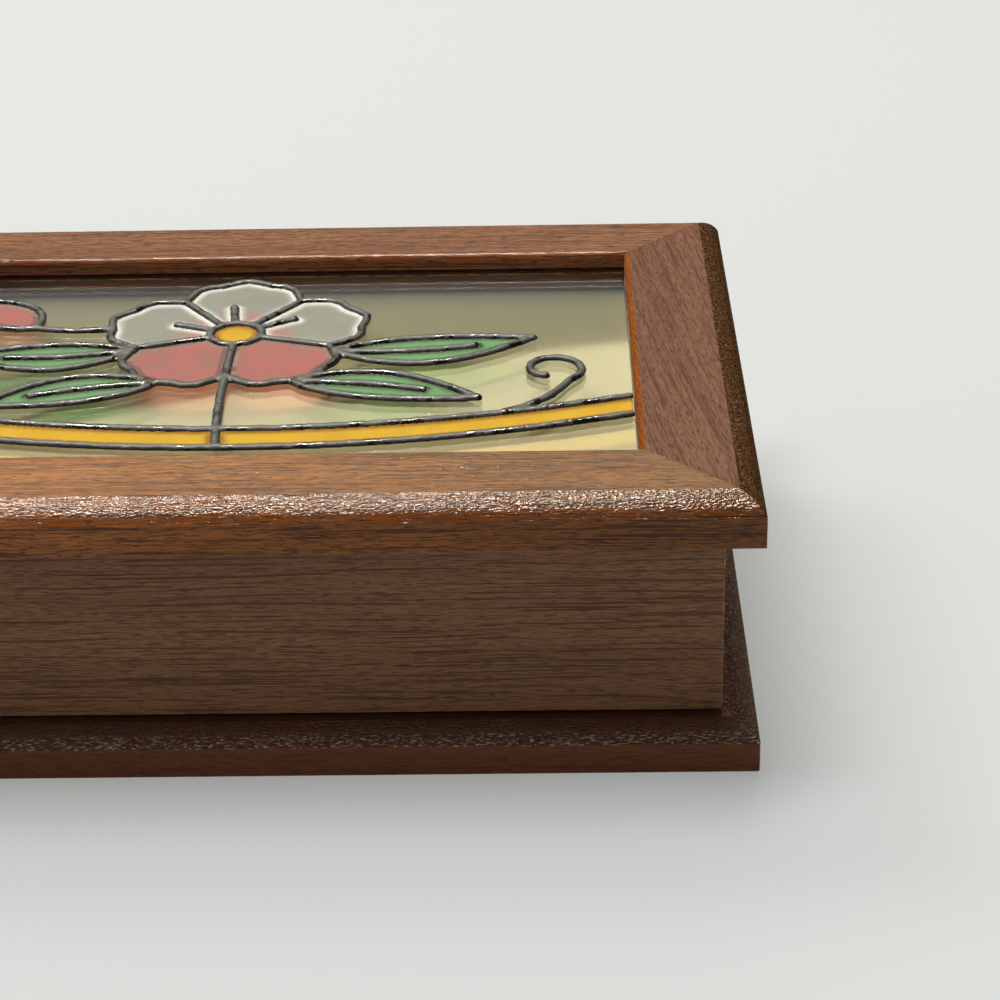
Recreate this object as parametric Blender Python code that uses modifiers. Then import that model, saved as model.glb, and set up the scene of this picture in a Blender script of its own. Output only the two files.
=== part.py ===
"""Wooden jewellery chest with a hinged lid that frames a leaded picture on glass.

Metres, +Z up. The origin is under the middle of the chest, on the surface it stands on.
+X is the chest's right side, +Y its back. Every piece is drawn with the lid shut.
"""

import math

import bmesh
import bpy
from mathutils import Matrix, Vector

mm = 0.001

# Clearances between separate pieces
joint_gap = 0.3 * mm
lining_gap = 1.0 * mm
cut_overrun = 5.0 * mm
weld_distance = 0.01 * mm

# Case: four mitred boards
case_width = 177.0 * mm
case_depth = 121.0 * mm
board_height = 36.5 * mm
board_thickness = 8.0 * mm

# Plinth: a mitred moulding under the boards, rebated for the bottom panel
plinth_projection = 6.5 * mm
plinth_side_height = 6.0 * mm
plinth_bevel_width = 4.5 * mm
plinth_bevel_drop = 3.0 * mm
plinth_bevel_bulge = 0.45 * mm
panel_rebate_width = 5.0 * mm
panel_thickness = 3.0 * mm
base_felt_thickness = 1.0 * mm

# Lid frame: a mitred moulding, rebated from below for the glass
lid_overhang = 6.5 * mm
lid_side_height = 5.8 * mm
lid_bevel_width = 4.5 * mm
lid_bevel_drop = 3.6 * mm
lid_bevel_bulge = 0.6 * mm
lid_flat_width = 16.6 * mm
lid_inner_round = 1.5 * mm
glass_lip_height = 3.2 * mm
glass_rebate_width = 5.0 * mm

# What the lid frame holds
glass_thickness = 1.8 * mm
backing_thickness = 1.5 * mm
lid_lining_thickness = 1.0 * mm

# Lining, divider and ring rolls
lining_thickness = 1.5 * mm
lining_reveal = 3.0 * mm
floor_lining_thickness = 2.0 * mm
fabric_round = 0.4 * mm
divider_thickness = 3.0 * mm
divider_height = 20.0 * mm
roll_count = 4
roll_diameter = 12.0 * mm
roll_end_round = 3.5 * mm
roll_end_draw = 2.0 * mm
roll_flat_depth = 0.8 * mm
roll_crown_share = 0.05

# Butt hinges
hinge_spacing = 100.0 * mm
leaf_length = 20.0 * mm
leaf_width = 8.0 * mm
leaf_thickness = 0.8 * mm
knuckle_count = 5
knuckle_radius = 1.4 * mm
knuckle_gap = 0.3 * mm
pin_radius = 0.6 * mm
pin_clearance = 0.1 * mm

# Countersunk slotted screws that hold the leaves
screw_head_radius = 1.5 * mm
screw_head_height = 0.7 * mm
screw_shank_radius = 0.6 * mm
screw_length = 4.5 * mm
screw_point_height = 1.4 * mm
screw_slot_width = 0.35 * mm
screw_slot_depth = 0.25 * mm
screw_edge_distance = 5.0 * mm
screw_clearance = 0.15 * mm

# Picture on the glass: leading beads and pools of enamel between them
bead_radius = 1.05 * mm
drop_radius = 1.2 * mm
bead_centre_height = 0.25 * mm
picture_gap = 0.15 * mm
enamel_thickness = 0.55 * mm
enamel_clearance = 0.15 * mm

# Counts of facets, and the least turn of the surface that shows as an edge
sharp_angle = math.radians(35)
round_sides = 16
screw_sides = 10
drop_sides = 8
drop_rings = 6
bead_resolution = 2
edge_segments = 2
curve_steps = 5
stroke_steps = 12
short_steps = 4

# Blossom, as shares of the pane's seen depth, and as shares of its own radius
blossom_place_share = (-0.03, 0.14)
blossom_radius_share = 0.285
petal_count = 5
petal_notch_share = 0.24
petal_notch_power = 1.5
petal_ruffle_share = 0.035
petal_ruffles = 3
throat_radius_share = 0.2
stamen_length_share = 0.3
stamen_lean_shares = (-0.16, 0.02, 0.19)

# Leaves: the share of a turn at which each leaves the blossom's edge, its tip as shares of
# the pane's seen width and depth, its half width as a share of that depth, and its bow
leaf_shares = {
    "leaf_right_upper": (-0.068, (0.37, 0.1), 0.066, -0.06),
    "leaf_right_lower": (-0.168, (0.3, -0.2), 0.062, 0.05),
    "leaf_left_upper": (0.56, (-0.4, 0.04), 0.064, 0.05),
    "leaf_left_lower": (0.668, (-0.34, -0.21), 0.062, -0.05),
}
midrib_reach_share = 0.72
leaf_fullness_power = 0.85
leaf_bluntness_power = 0.9

# Ribbon that crosses the pane, as shares of the pane's seen width and depth
ribbon_middle_share = -0.375
ribbon_rise_share = 0.135
ribbon_half_share = 0.042
stem_place_share = -0.02
stem_lean_share = 0.015

# Bud at the upper left, and its stalk, as shares of the seen width and depth
bud_root_share = (-0.305, 0.185)
bud_tip_share = (-0.4, 0.345)
bud_half_share = 0.062
bud_stalk_turn_share = 0.48
bud_stalk_bow_share = 0.06

# Tendrils: root, curl centre and curl radius as shares of the seen width and depth
tendril_shares = {
    "right": ((0.33, -0.275), (0.395, -0.06), 0.07, 1),
    "left": ((-0.36, -0.255), (-0.42, -0.085), 0.06, -1),
}
tendril_turns = 0.85
tendril_tightening_share = 0.45
tendril_bow_share = 0.1
tendril_start_turn = 1 / 6

# Sizes worked out from the driving ones
plinth_thickness = plinth_side_height + plinth_bevel_drop
plinth_rail_width = plinth_projection + board_thickness + panel_rebate_width
plinth_width = case_width + 2 * plinth_projection
plinth_depth = case_depth + 2 * plinth_projection
inner_width = case_width - 2 * board_thickness
inner_depth = case_depth - 2 * board_thickness
lid_thickness = lid_side_height + lid_bevel_drop
lid_rail_width = lid_bevel_width + lid_flat_width
lid_width = case_width + 2 * lid_overhang
lid_depth = case_depth + 2 * lid_overhang
sight_width = lid_width - 2 * lid_rail_width
sight_depth = lid_depth - 2 * lid_rail_width

# Heights above the surface that the chest stands on
board_base = plinth_thickness
board_top = board_base + board_height
lid_base = board_top + joint_gap
lid_top = lid_base + lid_thickness
floor_lining_top = board_base + joint_gap + floor_lining_thickness
glass_top = lid_top - glass_lip_height - joint_gap
glass_base = glass_top - glass_thickness
glazing_bead_height = glass_base - lid_base - 2 * joint_gap
backing_top = lid_base - joint_gap
picture_base = glass_top + picture_gap

# Hinge axis: along X, in the middle of the seam, just behind the back board
axis_offset = knuckle_radius + joint_gap
axis_y = case_depth / 2 + axis_offset
axis_z = board_top + joint_gap / 2

for item in list(bpy.data.objects):
    bpy.data.objects.remove(item, do_unlink=True)


def collection(name):
    """A collection of this name in the scene, made on first use."""
    found = bpy.data.collections.get(name)
    if found is None:
        found = bpy.data.collections.new(name)
        bpy.context.scene.collection.children.link(found)
    return found


def finish(name, colour, roughness, metallic=0.0, transmission=0.0):
    """A material with one plain finish."""
    made = bpy.data.materials.new(name)
    made.use_nodes = True
    shader = made.node_tree.nodes["Principled BSDF"]
    shader.inputs["Base Color"].default_value = (*colour, 1.0)
    shader.inputs["Roughness"].default_value = roughness
    shader.inputs["Metallic"].default_value = metallic
    shader.inputs["Transmission Weight"].default_value = transmission
    made.diffuse_color = (*colour, 1.0)
    return made


frame_wood = finish("frame_wood", (0.22, 0.11, 0.065), 0.38)
case_wood = finish("case_wood", (0.11, 0.05, 0.03), 0.42)
panel_wood = finish("panel_wood", (0.40, 0.27, 0.16), 0.6)
clear_glass = finish("clear_glass", (0.95, 0.97, 0.95), 0.03, transmission=0.9)
lead_grey = finish("lead_grey", (0.035, 0.035, 0.04), 0.32)
cream_card = finish("cream_card", (0.78, 0.71, 0.45), 0.75)
velvet = finish("velvet", (0.16, 0.02, 0.035), 0.9)
felt = finish("felt", (0.06, 0.05, 0.045), 0.95)
brass = finish("brass", (0.72, 0.50, 0.20), 0.3, metallic=1.0)
white_enamel = finish("white_enamel", (0.72, 0.72, 0.66), 0.15)
pink_enamel = finish("pink_enamel", (0.62, 0.13, 0.15), 0.15)
green_enamel = finish("green_enamel", (0.10, 0.38, 0.14), 0.15)
amber_enamel = finish("amber_enamel", (0.80, 0.44, 0.03), 0.15)

chest = collection("jewellery_chest")
cutters = collection("cutters")

# The lid's pieces hang on an empty that sits on the hinge axis
lid_pivot = bpy.data.objects.new("lid_pivot", None)
lid_pivot.location = (0, axis_y, axis_z)
chest.objects.link(lid_pivot)


def hang_on_lid(piece):
    """Parents a piece to the hinge axis and leaves it where it is."""
    piece.parent = lid_pivot
    piece.matrix_parent_inverse = Matrix.Translation(lid_pivot.location).inverted()


def place(name, mesh, material, where=(0, 0, 0), turn=0, on_lid=False):
    """Adds one piece of the chest, at a place and a turn about Z."""
    piece = bpy.data.objects.new(name, mesh)
    mesh.materials.append(material)
    mesh.shade_smooth()
    mesh.set_sharp_from_angle(angle=sharp_angle)
    piece.location = where
    piece.rotation_euler = (0, 0, turn)
    chest.objects.link(piece)
    if on_lid:
        hang_on_lid(piece)
    return piece


def hide_tool(name, mesh):
    """Adds a shape that only cuts or joins another piece."""
    tool = bpy.data.objects.new(name, mesh)
    tool.hide_render = True
    tool.display_type = "WIRE"
    cutters.objects.link(tool)
    return tool


def combine(piece, tool, operation):
    """Cuts a tool from a piece, joins it or keeps what they share."""
    step = piece.modifiers.new(operation.lower(), "BOOLEAN")
    step.operation = operation
    step.solver = "EXACT"
    step.object = tool


def mesh_from(shape, name):
    """Turns a bmesh into a mesh with its faces pointing out."""
    bmesh.ops.recalc_face_normals(shape, faces=shape.faces)
    mesh = bpy.data.meshes.new(name)
    shape.to_mesh(mesh)
    shape.free()
    return mesh


def block_mesh(name, low, high):
    """A box between two corners."""
    low, high = Vector(low), Vector(high)
    shape = bmesh.new()
    bmesh.ops.create_cube(shape, size=1)
    bmesh.ops.scale(shape, vec=high - low, verts=shape.verts)
    bmesh.ops.translate(shape, vec=(low + high) / 2, verts=shape.verts)
    return mesh_from(shape, name)


def slab(name, width, depth, base, top, material, on_lid=False, middle_x=0):
    """A flat panel or sheet, placed by the middle of its outline."""
    half = Vector((width / 2, depth / 2, (top - base) / 2))
    mesh = block_mesh(name, -half, half)
    return place(name, mesh, material, (middle_x, 0, (base + top) / 2), on_lid=on_lid)


def soften(piece, width):
    """Rounds a piece's edges."""
    step = piece.modifiers.new("round", "BEVEL")
    step.width = width
    step.segments = edge_segments
    step.limit_method = "ANGLE"


def profile_mesh(name, outline):
    """An open profile from (radius, height) points, running down its outer side."""
    mesh = bpy.data.meshes.new(name)
    corners = [(radius, 0, height) for radius, height in outline]
    mesh.from_pydata(corners, [(i, i + 1) for i in range(len(corners) - 1)], [])
    return mesh


def turned(piece, sides):
    """Turns an open profile about Z into a closed round shape."""
    step = piece.modifiers.new("turn", "SCREW")
    step.steps = sides
    step.render_steps = sides
    step.use_merge_vertices = True
    step.merge_threshold = weld_distance
    return piece


def steps_between(count):
    """Even steps from nought to one."""
    return [step / count for step in range(count + 1)]


def arc_points(start, end, bulge, steps):
    """Points of a flat arc between two points, bulging to the left of the way."""
    start, end = Vector(start), Vector(end)
    chord = end - start
    radius = (chord.length / 2) ** 2 / (2 * bulge) + bulge / 2
    half_angle = math.asin(chord.length / 2 / radius)
    side = Vector((-chord.y, chord.x)).normalized()
    centre = (start + end) / 2 + side * (bulge - radius)
    points = []
    for t in steps_between(steps):
        angle = half_angle * (2 * t - 1)
        points.append(centre + radius * (side * math.cos(angle) + chord.normalized() * math.sin(angle)))
    return points


def mitred_frame(prefix, outline, width, depth, base, material, on_lid=False):
    """Four bars of one section, mitred at the corners; an outline point is (inset, height)."""
    setback = joint_gap * math.sqrt(0.5)
    sides = {
        "front": (width, (0, -depth / 2, base), 0),
        "right": (depth, (width / 2, 0, base), math.pi / 2),
        "back": (width, (0, depth / 2, base), math.pi),
        "left": (depth, (-width / 2, 0, base), -math.pi / 2),
    }
    bars = {}
    for side, (length, where, turn) in sides.items():
        shape = bmesh.new()
        section = shape.faces.new([shape.verts.new((0, inset, height)) for inset, height in outline])
        far = bmesh.ops.extrude_face_region(shape, geom=[section])["geom"]
        far_corners = {part for part in far if isinstance(part, bmesh.types.BMVert)}
        for corner in shape.verts:
            reach = length / 2 - setback - corner.co.y
            corner.co.x = reach if corner in far_corners else -reach
        name = f"{prefix}_{side}"
        bars[side] = place(name, mesh_from(shape, name), material, where, turn, on_lid)
    return bars


# Plinth: the boards stand on its flat ledge, and its convex edge runs round the case
plinth_outline = [(0, 0)]
plinth_outline += arc_points(
    (0, plinth_side_height), (plinth_bevel_width, plinth_thickness), plinth_bevel_bulge, curve_steps
)
plinth_outline += [
    (plinth_rail_width - panel_rebate_width, plinth_thickness),
    (plinth_rail_width - panel_rebate_width, plinth_thickness - panel_thickness - joint_gap),
    (plinth_rail_width, plinth_thickness - panel_thickness - joint_gap),
    (plinth_rail_width, 0),
]
mitred_frame("plinth", plinth_outline, plinth_width, plinth_depth, 0, frame_wood)

panel_width = inner_width - 2 * joint_gap
panel_depth = inner_depth - 2 * joint_gap
panel_base = board_base - panel_thickness
slab("bottom_panel", panel_width, panel_depth, panel_base, board_base, panel_wood)
felt_width = plinth_width - 2 * plinth_rail_width - 2 * joint_gap
felt_depth = plinth_depth - 2 * plinth_rail_width - 2 * joint_gap
felt_top = panel_base - joint_gap
slab("base_felt", felt_width, felt_depth, felt_top - base_felt_thickness, felt_top, felt)

# Case boards, standing a joint's gap over the plinth and the panel
case_outline = [
    (0, joint_gap),
    (0, board_height),
    (board_thickness, board_height),
    (board_thickness, joint_gap),
]
boards = mitred_frame("board", case_outline, case_width, case_depth, board_base, case_wood)

# Lining of the case
floor_width = inner_width - 2 * joint_gap
floor_depth = inner_depth - 2 * joint_gap
floor_base = board_base + joint_gap
floor_lining = slab("floor_lining", floor_width, floor_depth, floor_base, floor_lining_top, velvet)
wall_height = board_height - lining_reveal - joint_gap - floor_lining_thickness - joint_gap
wall_outline = [(0, 0), (0, wall_height), (lining_thickness, wall_height), (lining_thickness, 0)]
mitred_frame(
    "wall_lining", wall_outline, floor_width, floor_depth, floor_lining_top + joint_gap, velvet
)

# Ring rolls side by side at the right, with a divider on their left
lined_width = floor_width - 2 * lining_thickness - 2 * joint_gap
lined_depth = floor_depth - 2 * lining_thickness - 2 * joint_gap
roll_radius = roll_diameter / 2
roll_pitch = roll_diameter + joint_gap
rolls_left = lined_width / 2 - roll_count * roll_pitch
divider_x = rolls_left - divider_thickness / 2
divider = slab(
    "divider", divider_thickness, lined_depth, floor_lining_top + joint_gap,
    floor_lining_top + joint_gap + divider_height, velvet, middle_x=divider_x,
)
soften(divider, fabric_round)

# A roll is stuffed: fullest in its middle, drawn in at its ends, and flat where it rests
half_roll = lined_depth / 2
roll_end = [(0, half_roll)]
for t in steps_between(curve_steps):
    draw = roll_end_draw * (1 - math.sin(t * math.pi / 2))
    height = half_roll - roll_end_round * (1 - math.cos(t * math.pi / 2))
    crown = roll_crown_share * (height / half_roll) ** 2
    roll_end.append(((roll_radius - draw) * (1 - crown), height))
roll_outline = roll_end + [(roll_radius, 0)] + [(radius, -height) for radius, height in reversed(roll_end)]
roll_floor = floor_lining_top + joint_gap
under_low, under_high = (0, -case_depth / 2, 0), (case_width / 2, case_depth / 2, roll_floor)
roll_underside = hide_tool("roll_underside", block_mesh("roll_underside", under_low, under_high))
for index in range(roll_count):
    name = f"ring_roll_{index + 1}"
    roll_x = rolls_left + roll_pitch * (index + 0.5)
    roll_z = roll_floor + roll_radius - roll_flat_depth
    roll = turned(place(name, profile_mesh(name, roll_outline), velvet, (roll_x, 0, roll_z)), round_sides)
    roll.rotation_euler.x = math.pi / 2
    combine(roll, roll_underside, "DIFFERENCE")

# Lid frame: convex outer edge, rounded inner edge, and a rebate below the lip for the glass
lid_outline = [(0, 0)]
lid_outline += arc_points(
    (0, lid_side_height), (lid_bevel_width, lid_thickness), lid_bevel_bulge, curve_steps
)
quarter_bulge = lid_inner_round * (1 - math.sqrt(0.5))
lid_outline += arc_points(
    (lid_rail_width - lid_inner_round, lid_thickness),
    (lid_rail_width, lid_thickness - lid_inner_round),
    quarter_bulge,
    curve_steps,
)
lid_outline += [
    (lid_rail_width, lid_thickness - glass_lip_height),
    (lid_rail_width - glass_rebate_width, lid_thickness - glass_lip_height),
    (lid_rail_width - glass_rebate_width, 0),
]
rails = mitred_frame("lid_rail", lid_outline, lid_width, lid_depth, lid_base, frame_wood, on_lid=True)

glass_width = sight_width + 2 * (glass_rebate_width - joint_gap)
glass_depth = sight_depth + 2 * (glass_rebate_width - joint_gap)
slab("glass_pane", glass_width, glass_depth, glass_base, glass_top, clear_glass, on_lid=True)

# Glazing beads hold the glass up against the lip and are flush with the frame below
glazing_width = glass_rebate_width - joint_gap
glazing_outline = [
    (0, 0),
    (0, glazing_bead_height),
    (glazing_width, glazing_bead_height),
    (glazing_width, 0),
]
mitred_frame(
    "glazing_bead", glazing_outline, glass_width, glass_depth, lid_base + joint_gap, frame_wood,
    on_lid=True,
)

# Backing board and its lining are tacked under the frame and drop into the case's mouth
backing_width = lined_width - 2 * lining_gap
backing_depth = lined_depth - 2 * lining_gap
backing_base = backing_top - backing_thickness
slab("backing_board", backing_width, backing_depth, backing_base, backing_top, cream_card, on_lid=True)
lid_lining_top = backing_base - joint_gap
lid_lining = slab(
    "lid_lining", backing_width, backing_depth, lid_lining_top - lid_lining_thickness,
    lid_lining_top, velvet, on_lid=True,
)
soften(lid_lining, fabric_round)
soften(floor_lining, fabric_round)

# Butt hinges, sunk in the back board's top edge and in the lid's back rail
knuckle_pitch = leaf_length / knuckle_count
knuckle_half = (knuckle_pitch - knuckle_gap) / 2
half_seam = joint_gap / 2
screw_y = (axis_offset + leaf_width) / 2
screw_places = (screw_edge_distance - leaf_length / 2, leaf_length / 2 - screw_edge_distance)


def rod_mesh(name, radius, start_x, end_x):
    """A round bar along X between two places."""
    shape = bmesh.new()
    bmesh.ops.create_cone(
        shape, cap_ends=True, segments=round_sides, radius1=radius, radius2=radius,
        depth=end_x - start_x, matrix=Matrix.Rotation(math.pi / 2, 4, "Y"),
    )
    bmesh.ops.translate(shape, vec=((start_x + end_x) / 2, 0, 0), verts=shape.verts)
    return mesh_from(shape, name)


def turn_over(mesh):
    """Mirrors a mesh in the seam's plane, for the lid's side of a hinge."""
    mesh.transform(Matrix.Scale(-1, 4, (0, 0, 1)))
    mesh.flip_normals()


def hinge_leaf(name, hinge_x, on_lid):
    """One leaf about the hinge axis: a plate beside it and every second knuckle round it."""
    low = (-leaf_length / 2, -leaf_width, -half_seam - leaf_thickness)
    plate = block_mesh(name, low, (leaf_length / 2, 0, -half_seam))
    past_end = leaf_length / 2 + cut_overrun
    clearances, knuckles = [], []
    for index in range(knuckle_count):
        middle = knuckle_pitch * (index + 0.5) - leaf_length / 2
        if (index % 2 == 1) == on_lid:
            start, end = middle - knuckle_half, middle + knuckle_half
            knuckles.append((rod_mesh("knuckle", knuckle_radius, start, end), "UNION"))
        else:
            start = middle - knuckle_pitch / 2 if index > 0 else -past_end
            end = middle + knuckle_pitch / 2 if index < knuckle_count - 1 else past_end
            clearances.append((rod_mesh("clearance", axis_offset, start, end), "DIFFERENCE"))
    bore = rod_mesh("bore", pin_radius + pin_clearance, -past_end, past_end)
    leaf = place(name, plate, brass, (hinge_x, axis_y, axis_z), on_lid=on_lid)
    if on_lid:
        turn_over(plate)
    for mesh, operation in clearances + knuckles + [(bore, "DIFFERENCE")]:
        if on_lid:
            turn_over(mesh)
        tool = hide_tool(f"{name}_{mesh.name}", mesh)
        tool.location = leaf.location
        combine(leaf, tool, operation)
    return leaf


def drive_screw(name, where, leaf, wood, on_lid):
    """A countersunk slotted screw through a leaf into the wood, with its hole in both."""
    point_top = screw_point_height - screw_length
    screw_outline = [
        (0, 0),
        (screw_head_radius, 0),
        (screw_shank_radius, -screw_head_height),
        (screw_shank_radius, point_top),
        (0, -screw_length),
    ]
    wide = screw_head_radius + screw_clearance
    narrow = screw_shank_radius + screw_clearance
    hole_outline = [
        (0, screw_clearance),
        (wide, screw_clearance),
        (wide, -screw_clearance),
        (narrow, -screw_head_height - screw_clearance),
        (narrow, -screw_length - screw_clearance),
        (0, -screw_length - screw_clearance),
    ]
    piece = turned(place(name, profile_mesh(name, screw_outline), brass, on_lid=on_lid), screw_sides)
    hole = turned(hide_tool(f"{name}_hole", profile_mesh("hole", hole_outline)), screw_sides)
    reach = screw_head_radius + cut_overrun
    slot_low = (-reach, -screw_slot_width / 2, -screw_slot_depth)
    slot = hide_tool(f"{name}_slot", block_mesh("slot", slot_low, (reach, screw_slot_width / 2, reach)))
    for part in (piece, hole, slot):
        part.location = where
        part.rotation_euler = (math.pi, 0, 0) if on_lid else (0, 0, 0)
    combine(piece, slot, "DIFFERENCE")
    combine(leaf, hole, "DIFFERENCE")
    combine(wood, hole, "DIFFERENCE")


def sink(name, wood, low, high):
    """Cuts a box-shaped seat for a hinge into the wood."""
    combine(wood, hide_tool(name, block_mesh(name, low, high)), "DIFFERENCE")


seat_front = axis_y - leaf_width - joint_gap
seat_depth = half_seam + leaf_thickness + joint_gap
for side, hinge_x in (("left", -hinge_spacing / 2), ("right", hinge_spacing / 2)):
    pin = rod_mesh("pin", pin_radius, -leaf_length / 2, leaf_length / 2)
    place(f"hinge_{side}_pin", pin, brass, (hinge_x, axis_y, axis_z))

    # The board's mortise is open at the back; the lid's has a deeper trough over the barrel
    seat_left = hinge_x - leaf_length / 2 - joint_gap
    seat_right = hinge_x + leaf_length / 2 + joint_gap
    below, behind = board_top - cut_overrun, axis_y + axis_offset
    sink(
        f"{side}_board_mortise", boards["back"],
        (seat_left, seat_front, axis_z - seat_depth), (seat_right, behind, lid_top),
    )
    sink(
        f"{side}_lid_mortise", rails["back"],
        (seat_left, seat_front, below), (seat_right, axis_y, axis_z + seat_depth),
    )
    sink(
        f"{side}_lid_trough", rails["back"],
        (seat_left, axis_y - axis_offset, below), (seat_right, behind, axis_z + axis_offset),
    )
    for body, on_lid, wood in (("fixed", False, boards["back"]), ("moving", True, rails["back"])):
        leaf = hinge_leaf(f"hinge_{side}_{body}_leaf", hinge_x, on_lid)
        head_z = axis_z + half_seam if on_lid else axis_z - half_seam
        for number, offset in enumerate(screw_places, start=1):
            where = (hinge_x + offset, axis_y - screw_y, head_z)
            drive_screw(f"hinge_{side}_{body}_screw_{number}", where, leaf, wood, on_lid)


# Picture: every line is a stroke of points over the pane, in metres from its middle
def on_pane(share):
    """A place on the pane from its shares of the seen width and depth."""
    return Vector((share[0] * sight_width, share[1] * sight_depth))


blossom_centre = on_pane(blossom_place_share)
blossom_radius = blossom_radius_share * sight_depth
throat_radius = throat_radius_share * blossom_radius
petal_angle = 2 * math.pi / petal_count


def blossom_point(angle, radius=None):
    """A point of the blossom's scalloped and ruffled edge, or of a circle inside it."""
    if radius is None:
        swell = abs(math.cos((angle - math.pi / 2) * petal_count / 2))
        notch = petal_notch_share * (1 - swell) ** petal_notch_power
        ruffle = petal_ruffle_share * math.cos((angle - math.pi / 2) * petal_count * petal_ruffles)
        radius = blossom_radius * (1 - notch + ruffle * swell)
    return blossom_centre + radius * Vector((math.cos(angle), math.sin(angle)))


def bowed(start, end, bow, t):
    """A point of a line that bows to its left by a share of its length."""
    way = end - start
    return start + way * t + Vector((-way.y, way.x)) * bow * math.sin(math.pi * t)


def leaf_edge(root, tip, half_width, bow, side, t):
    """A point of one edge of a leaf, fullest nearer its root."""
    way = (tip - root).normalized()
    swell = math.sin(math.pi * t**leaf_fullness_power) ** leaf_bluntness_power
    return bowed(root, tip, bow, t) + Vector((-way.y, way.x)) * half_width * side * swell


def ribbon_point(x, side):
    """A point of the ribbon's upper or lower edge, which rises towards the pane's ends."""
    rise = ribbon_rise_share * (2 * x / sight_width) ** 2
    return Vector((x, (ribbon_middle_share + rise + side * ribbon_half_share) * sight_depth))


strokes = []
tips = []
cells = {}

# Blossom: scalloped edge, the lines between petals, the throat and the stamens
notch_angles = [math.pi / 2 + petal_angle * (k + 0.5) for k in range(petal_count)]
edge_steps = stroke_steps * petal_count
edge = [blossom_point(notch_angles[0] + 2 * math.pi * t) for t in steps_between(edge_steps)[:-1]]
strokes.append((edge, True))
throat = [blossom_point(2 * math.pi * t, throat_radius) for t in steps_between(stroke_steps)[:-1]]
strokes.append((throat, True))
for angle in notch_angles:
    strokes.append(([blossom_point(angle, throat_radius), blossom_point(angle)], False))
for lean in stamen_lean_shares:
    angle = math.pi / 2 + lean * 2 * math.pi
    end = blossom_point(angle, throat_radius + stamen_length_share * blossom_radius)
    strokes.append(([blossom_point(angle, throat_radius), end], False))
    tips.append(end)
for k, angle in enumerate(notch_angles):
    outer = [blossom_point(angle - petal_angle * t) for t in steps_between(stroke_steps)]
    inner = [blossom_point(angle - petal_angle * (1 - t), throat_radius) for t in steps_between(short_steps)]
    cells[f"petal_{k + 1}"] = (outer + inner, white_enamel if k in (0, 1, 4) else pink_enamel)
cells["throat"] = (throat, amber_enamel)

# Leaves: two edges and a midrib that stops short of the tip
for name, (turn_share, tip_share, half_share, bow) in leaf_shares.items():
    root, tip = blossom_point(2 * math.pi * turn_share), on_pane(tip_share)
    half_width = half_share * sight_depth
    way = steps_between(stroke_steps)
    upper = [leaf_edge(root, tip, half_width, bow, 1, t) for t in way]
    lower = [leaf_edge(root, tip, half_width, bow, -1, t) for t in way]
    midrib = [bowed(root, tip, bow, t * midrib_reach_share) for t in steps_between(short_steps)]
    strokes += [(upper, False), (lower, False), (midrib, False)]
    tips += [root, tip]
    cells[name] = (upper + lower[-2:0:-1], green_enamel)

# Ribbon: an upper and a lower edge from side to side, parted by the stem
ribbon_end = sight_width / 2 - joint_gap
stem_x = stem_place_share * sight_width
for side in (1, -1):
    line = [ribbon_point(ribbon_end * (2 * t - 1), side) for t in steps_between(2 * stroke_steps)]
    strokes.append((line, False))
stem_foot = ribbon_point(stem_x, -1)
stem_head = blossom_point(-math.pi / 2)
stem = [bowed(stem_foot, stem_head, stem_lean_share, t) for t in steps_between(short_steps)]
strokes.append((stem, False))
tips += [stem_foot, stem_head]
pool_end = ribbon_end - joint_gap
for name, start, end in (("ribbon_left", -pool_end, stem_x), ("ribbon_right", stem_x, pool_end)):
    way = [start + (end - start) * t for t in steps_between(stroke_steps)]
    outline = [ribbon_point(x, 1) for x in way] + [ribbon_point(x, -1) for x in reversed(way)]
    cells[name] = (outline, amber_enamel)

# Bud: a drop of two edges on a stalk that leaves the blossom's left side
bud_root, bud_tip = on_pane(bud_root_share), on_pane(bud_tip_share)
bud_half = bud_half_share * sight_depth
bud_edges = []
for side in (1, -1):
    way = steps_between(2 * short_steps)
    bud_edges.append([leaf_edge(bud_root, bud_tip, bud_half, 0, side, t) for t in way])
    strokes.append((bud_edges[-1], False))
cells["bud"] = (bud_edges[0] + bud_edges[1][-2:0:-1], pink_enamel)
stalk_start = blossom_point(2 * math.pi * bud_stalk_turn_share)
stalk = [bowed(stalk_start, bud_root, bud_stalk_bow_share, t) for t in steps_between(short_steps)]
strokes.append((stalk, False))
tips += [bud_root, bud_tip]

# Tendrils: each leaves the ribbon's upper edge and winds into an open curl
for root_share, centre_share, radius_share, hand in tendril_shares.values():
    root = on_pane(root_share)
    root = ribbon_point(root.x, 1)
    centre = on_pane(centre_share)
    curl_radius = radius_share * sight_depth
    first_angle = math.atan2(root.y - centre.y, root.x - centre.x)
    first_angle += hand * 2 * math.pi * tendril_start_turn
    curl = []
    for t in steps_between(stroke_steps):
        radius = curl_radius * (1 - tendril_tightening_share * t)
        angle = first_angle + hand * 2 * math.pi * tendril_turns * t
        curl.append(centre + radius * Vector((math.cos(angle), math.sin(angle))))
    bow = -hand * tendril_bow_share
    lead = [bowed(root, curl[0], bow, t) for t in steps_between(short_steps)[:-1]]
    strokes.append((lead + curl, False))
    tips.append(curl[-1])


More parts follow.
